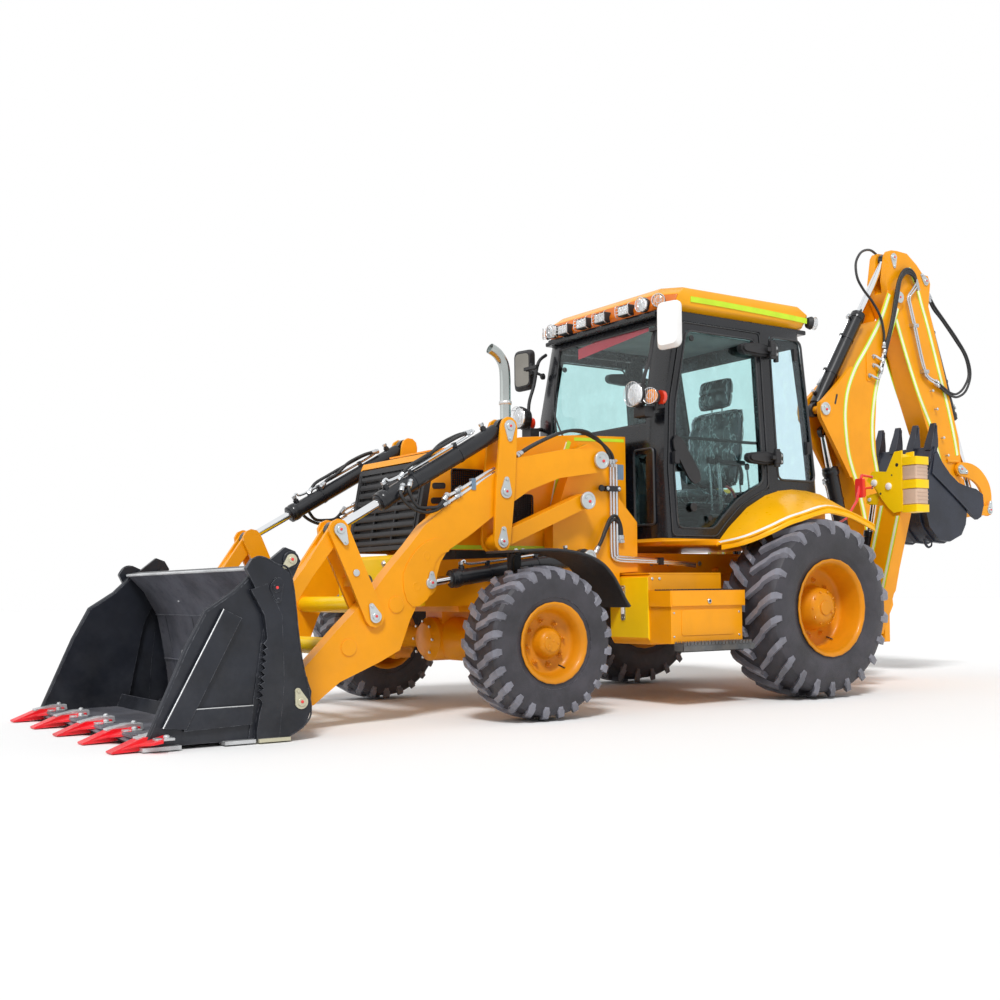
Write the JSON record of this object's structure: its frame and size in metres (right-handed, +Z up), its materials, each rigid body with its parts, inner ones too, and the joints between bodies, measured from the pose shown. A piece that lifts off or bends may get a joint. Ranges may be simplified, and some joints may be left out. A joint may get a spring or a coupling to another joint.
{
  "type": "backhoe loader",
  "caption": "Wheeled digger-loader: hinged-jaw loader bucket on linked arms in front, cab, swinging digger arm and folding stabilisers behind.",
  "frame": {"origin": "centre of the machine's box at ground level", "axes": "+X to the machine's left, +Y to its rear (the digger end), +Z up"},
  "size_m": [2.404, 8.153, 3.605],
  "materials": {
    "amber": "gloss paint",
    "yellow": "gloss paint",
    "black": "satin black paint",
    "dark": "satin dark paint",
    "rubber": "moulded rubber",
    "chrome": "polished",
    "cushion": "padded cover"
  },
  "bodies": {
    "machine": {"chassis_frame": "amber", "front_axle": "dark", "platform_fenders": "amber", "cab_shell": "black", "cab_roof": "amber", "seat": "cushion"},
    "lid": {"tool_box_lid": "black"},
    "door_left": {"door_left": "black"},
    "door_right": {"door_right": "black"},
    "hood": {"hood": "amber", "exhaust_stack": "chrome"},
    "knuckle_left": {"steering_knuckle_left": "black"},
    "knuckle_right": {"steering_knuckle_right": "black"},
    "wheel_front_left": {"tyre_front_left": "rubber", "rim_front_left": "amber"},
    "wheel_front_right": {"tyre_front_right": "rubber", "rim_front_right": "amber"},
    "wheel_rear_left": {"tyre_rear_left": "rubber", "rim_rear_left": "amber"},
    "wheel_rear_right": {"tyre_rear_right": "rubber", "rim_rear_right": "amber"},
    "arms": {"loader_arms": "amber"},
    "rear_levers": {"rear_lever_left": "amber", "rear_lever_right": "amber"},
    "level_links": {"level_link_left": "amber", "level_link_right": "amber"},
    "lift_barrels": {"lift_barrel_left": "black", "lift_barrel_right": "black"},
    "lift_rods": {"lift_rod_left": "chrome", "lift_rod_right": "chrome"},
    "tilt_barrels": {"tilt_barrel_left": "black", "tilt_barrel_right": "black"},
    "tilt_rods": {"tilt_rod_left": "chrome", "tilt_rod_right": "chrome"},
    "crowd_pins": {"crowd_pin_left": "chrome", "crowd_pin_right": "chrome"},
    "crowd_levers": {"crowd_lever_left": "amber", "crowd_lever_right": "amber"},
    "lever_pins": {"lever_pin_left": "chrome", "lever_pin_right": "chrome"},
    "tilt_links": {"tilt_link_left": "amber", "tilt_link_right": "amber"},
    "bucket_pins": {"bucket_pin_left": "chrome", "bucket_pin_right": "chrome"},
    "bucket_back": {"bucket_back": "dark"},
    "clam": {"clam_jaw": "dark"},
    "swing_post": {"swing_post": "amber"},
    "boom": {"boom": "amber"},
    "dipper": {"dipper": "amber"},
    "digger_bucket": {"digger_bucket": "dark"},
    "rocker": {"rocker": "yellow"},
    "bucket_link": {"bucket_link": "yellow"},
    "boom_barrel": {"boom_barrel": "black"},
    "boom_rod": {"boom_rod": "chrome"},
    "dipper_barrel": {"dipper_barrel": "black"},
    "dipper_rod": {"dipper_rod": "chrome"},
    "bucket_barrel": {"bucket_barrel": "black"},
    "bucket_rod": {"bucket_rod": "chrome"},
    "stabiliser_left": {"stabiliser_leg_left": "yellow"},
    "stabiliser_right": {"stabiliser_leg_right": "yellow"}
  },
  "joints": [
    {"name": "steer", "type": "hinge", "parent": "machine", "child": "knuckle_left", "pos_m": [0.7, -1.5915, 0.449], "axis": [0, 0, 1], "range_deg": [-30, 30]},
    {"name": "steer_right", "type": "hinge", "parent": "machine", "child": "knuckle_right", "pos_m": [-0.7, -1.5915, 0.449], "axis": [0, 0, 1], "range_deg": [-30, 30]},
    {"name": "roll_front_left", "type": "hinge", "parent": "knuckle_left", "child": "wheel_front_left", "pos_m": [0.9775, -1.5915, 0.449], "axis": [1, 0, 0], "continuous": true},
    {"name": "roll_rear_left", "type": "hinge", "parent": "machine", "child": "wheel_rear_left", "pos_m": [0.958, 0.7165, 0.613], "axis": [1, 0, 0], "continuous": true},
    {"name": "roll_front_right", "type": "hinge", "parent": "knuckle_right", "child": "wheel_front_right", "pos_m": [-0.9775, -1.5915, 0.449], "axis": [1, 0, 0], "continuous": true},
    {"name": "roll_rear_right", "type": "hinge", "parent": "machine", "child": "wheel_rear_right", "pos_m": [-0.958, 0.7165, 0.613], "axis": [1, 0, 0], "continuous": true},
    {"name": "raise", "type": "hinge", "parent": "machine", "child": "arms", "pos_m": [0, -0.8485, 1.58], "axis": [-1, 0, 0], "range_deg": [0, 76]},
    {"name": "rear_levers_turn", "type": "hinge", "parent": "arms", "child": "rear_levers", "pos_m": [0, -1.5985, 1.35], "axis": [-1, 0, 0], "range_deg": [-76.5, 0]},
    {"name": "level_links_turn", "type": "hinge", "parent": "machine", "child": "level_links", "pos_m": [0, -0.9635, 1.318], "axis": [-1, 0, 0], "range_deg": [0, 86]},
    {"name": "lift_barrels_turn", "type": "hinge", "parent": "machine", "child": "lift_barrels", "pos_m": [0, -0.9535, 0.96], "axis": [-1, 0, 0], "range_deg": [0, 71]},
    {"name": "lift_rods_slide", "type": "slide", "parent": "lift_barrels", "child": "lift_rods", "axis": [0, -0.9908, -0.1352], "range_m": [0, 0.775]},
    {"name": "tilt_barrels_turn", "type": "hinge", "parent": "rear_levers", "child": "tilt_barrels", "pos_m": [0, -1.5665, 1.748], "axis": [-1, 0, 0], "range_deg": [0, 66.5]},
    {"name": "crowd_pins_turn", "type": "hinge", "parent": "arms", "child": "crowd_pins", "pos_m": [0, -2.5015, 0.614], "axis": [-1, 0, 0], "range_deg": [-63.5, 0]},
    {"name": "bucket_pins_turn", "type": "hinge", "parent": "arms", "child": "bucket_pins", "pos_m": [0, -2.9635, 0.19], "axis": [-1, 0, 0], "range_deg": [-76.5, 0]},
    {"name": "tilt", "type": "hinge", "parent": "bucket_pins", "child": "bucket_back", "pos_m": [0, -2.9635, 0.19], "axis": [-1, 0, 0], "range_deg": [-50, 40]},
    {"name": "crowd_levers_turn", "type": "hinge", "parent": "crowd_pins", "child": "crowd_levers", "pos_m": [0, -2.5015, 0.614], "axis": [-1, 0, 0], "range_deg": [-40, 32]},
    {"name": "lever_pins_turn", "type": "hinge", "parent": "crowd_levers", "child": "lever_pins", "pos_m": [0, -2.7205, 1.098], "axis": [-1, 0, 0], "range_deg": [0, 69]},
    {"name": "tilt_links_turn", "type": "hinge", "parent": "lever_pins", "child": "tilt_links", "pos_m": [0, -2.7205, 1.098], "axis": [-1, 0, 0], "range_deg": [-36.5, 45.5]},
    {"name": "tilt_rods_slide", "type": "slide", "parent": "tilt_barrels", "child": "tilt_rods", "axis": [0, -0.8713, -0.4908], "range_m": [-0.275, 0.343]},
    {"name": "clam", "type": "hinge", "parent": "bucket_back", "child": "clam", "pos_m": [0, -3.2485, 0.799], "axis": [-1, 0, 0], "range_deg": [0, 65]},
    {"name": "door_left", "type": "hinge", "parent": "machine", "child": "door_left", "pos_m": [0.775, 0.6565, 1.6], "axis": [0, -0.045, 0.999], "range_deg": [0, 85]},
    {"name": "door_right", "type": "hinge", "parent": "machine", "child": "door_right", "pos_m": [-0.775, 0.6565, 1.6], "axis": [0, 0.045, -0.999], "range_deg": [0, 85]},
    {"name": "hood_open", "type": "hinge", "parent": "machine", "child": "hood", "pos_m": [0, -2.0835, 1], "axis": [1, 0, 0], "range_deg": [0, 45]},
    {"name": "lid_open", "type": "hinge", "parent": "machine", "child": "lid", "pos_m": [0.808, 0.7165, 0.735], "axis": [0, -1, 0], "range_deg": [0, 75]},
    {"name": "swing", "type": "hinge", "parent": "machine", "child": "swing_post", "pos_m": [0, 2.0965, 0.7], "axis": [0, 0, 1], "range_deg": [-90, 90]},
    {"name": "boom", "type": "hinge", "parent": "swing_post", "child": "boom", "pos_m": [0, 2.5665, 0.62], "axis": [-1, 0, 0], "range_deg": [0, 95]},
    {"name": "boom_barrel_turn", "type": "hinge", "parent": "swing_post", "child": "boom_barrel", "pos_m": [0, 2.3365, 0.78], "axis": [-1, 0, 0], "range_deg": [0, 98.5]},
    {"name": "boom_rod_slide", "type": "slide", "parent": "boom_barrel", "child": "boom_rod", "axis": [0, -0.2499, 0.9683], "range_m": [0, 0.41]},
    {"name": "dipper", "type": "hinge", "parent": "boom", "child": "dipper", "pos_m": [0, 2.8465, 3.2], "axis": [1, 0, 0], "range_deg": [0, 100]},
    {"name": "dipper_barrel_turn", "type": "hinge", "parent": "boom", "child": "dipper_barrel", "pos_m": [0, 1.9065, 2.187], "axis": [1, 0, 0], "range_deg": [0, 5]},
    {"name": "dipper_rod_slide", "type": "slide", "parent": "dipper_barrel", "child": "dipper_rod", "axis": [0, 0.5581, 0.8298], "range_m": [-0.525, 0]},
    {"name": "digger_bucket", "type": "hinge", "parent": "dipper", "child": "digger_bucket", "pos_m": [0, 3.5465, 1.54], "axis": [1, 0, 0], "range_deg": [0, 120]},
    {"name": "rocker_turn", "type": "hinge", "parent": "dipper", "child": "rocker", "pos_m": [0, 3.6465, 1.78], "axis": [1, 0, 0], "range_deg": [0, 34]},
    {"name": "bucket_link_turn", "type": "hinge", "parent": "rocker", "child": "bucket_link", "pos_m": [0, 4.0265, 1.43], "axis": [1, 0, 0], "range_deg": [-32, 0]},
    {"name": "bucket_barrel_turn", "type": "hinge", "parent": "dipper", "child": "bucket_barrel", "pos_m": [0, 3.2415, 3.394], "axis": [1, 0, 0], "range_deg": [0, 7]},
    {"name": "bucket_rod_slide", "type": "slide", "parent": "bucket_barrel", "child": "bucket_rod", "axis": [0, 0.3711, -0.9286], "range_m": [-0.195, 0]},
    {"name": "stabiliser_left", "type": "hinge", "parent": "machine", "child": "stabiliser_left", "pos_m": [0.695, 1.7065, 0.45], "axis": [0, 1, 0], "range_deg": [0, 90]},
    {"name": "stabiliser_right", "type": "hinge", "parent": "machine", "child": "stabiliser_right", "pos_m": [-0.695, 1.7065, 0.45], "axis": [0, -1, 0], "range_deg": [0, 90]}
  ],
  "couplings": [
    {"joint": "steer_right", "follows": "steer", "ratio": 1},
    {"joint": "rear_levers_turn", "follows": "raise", "ratio": -1},
    {"joint": "level_links_turn", "follows": "raise", "ratio": 1.125},
    {"joint": "lift_barrels_turn", "follows": "raise", "ratio": 0.921},
    {"joint": "lift_rods_slide", "follows": "raise", "m_per_rad": 0.58},
    {"joint": "tilt_barrels_turn", "follows": "raise", "ratio": 0.867},
    {"joint": "crowd_pins_turn", "follows": "raise", "ratio": -0.829},
    {"joint": "bucket_pins_turn", "follows": "raise", "ratio": -1},
    {"joint": "crowd_levers_turn", "follows": "tilt", "ratio": 0.789},
    {"joint": "lever_pins_turn", "follows": "raise", "ratio": 0.901},
    {"joint": "tilt_links_turn", "follows": "tilt", "ratio": -0.895},
    {"joint": "tilt_rods_slide", "follows": "tilt", "m_per_rad": -0.39},
    {"joint": "boom_barrel_turn", "follows": "boom", "ratio": 1.028},
    {"joint": "boom_rod_slide", "follows": "boom", "m_per_rad": 0.246},
    {"joint": "dipper_barrel_turn", "follows": "dipper", "ratio": 0.0444},
    {"joint": "dipper_rod_slide", "follows": "dipper", "m_per_rad": -0.2965},
    {"joint": "rocker_turn", "follows": "digger_bucket", "ratio": 0.28},
    {"joint": "bucket_link_turn", "follows": "digger_bucket", "ratio": -0.26},
    {"joint": "bucket_barrel_turn", "follows": "digger_bucket", "ratio": 0.054},
    {"joint": "bucket_rod_slide", "follows": "digger_bucket", "m_per_rad": -0.09}
  ]
}
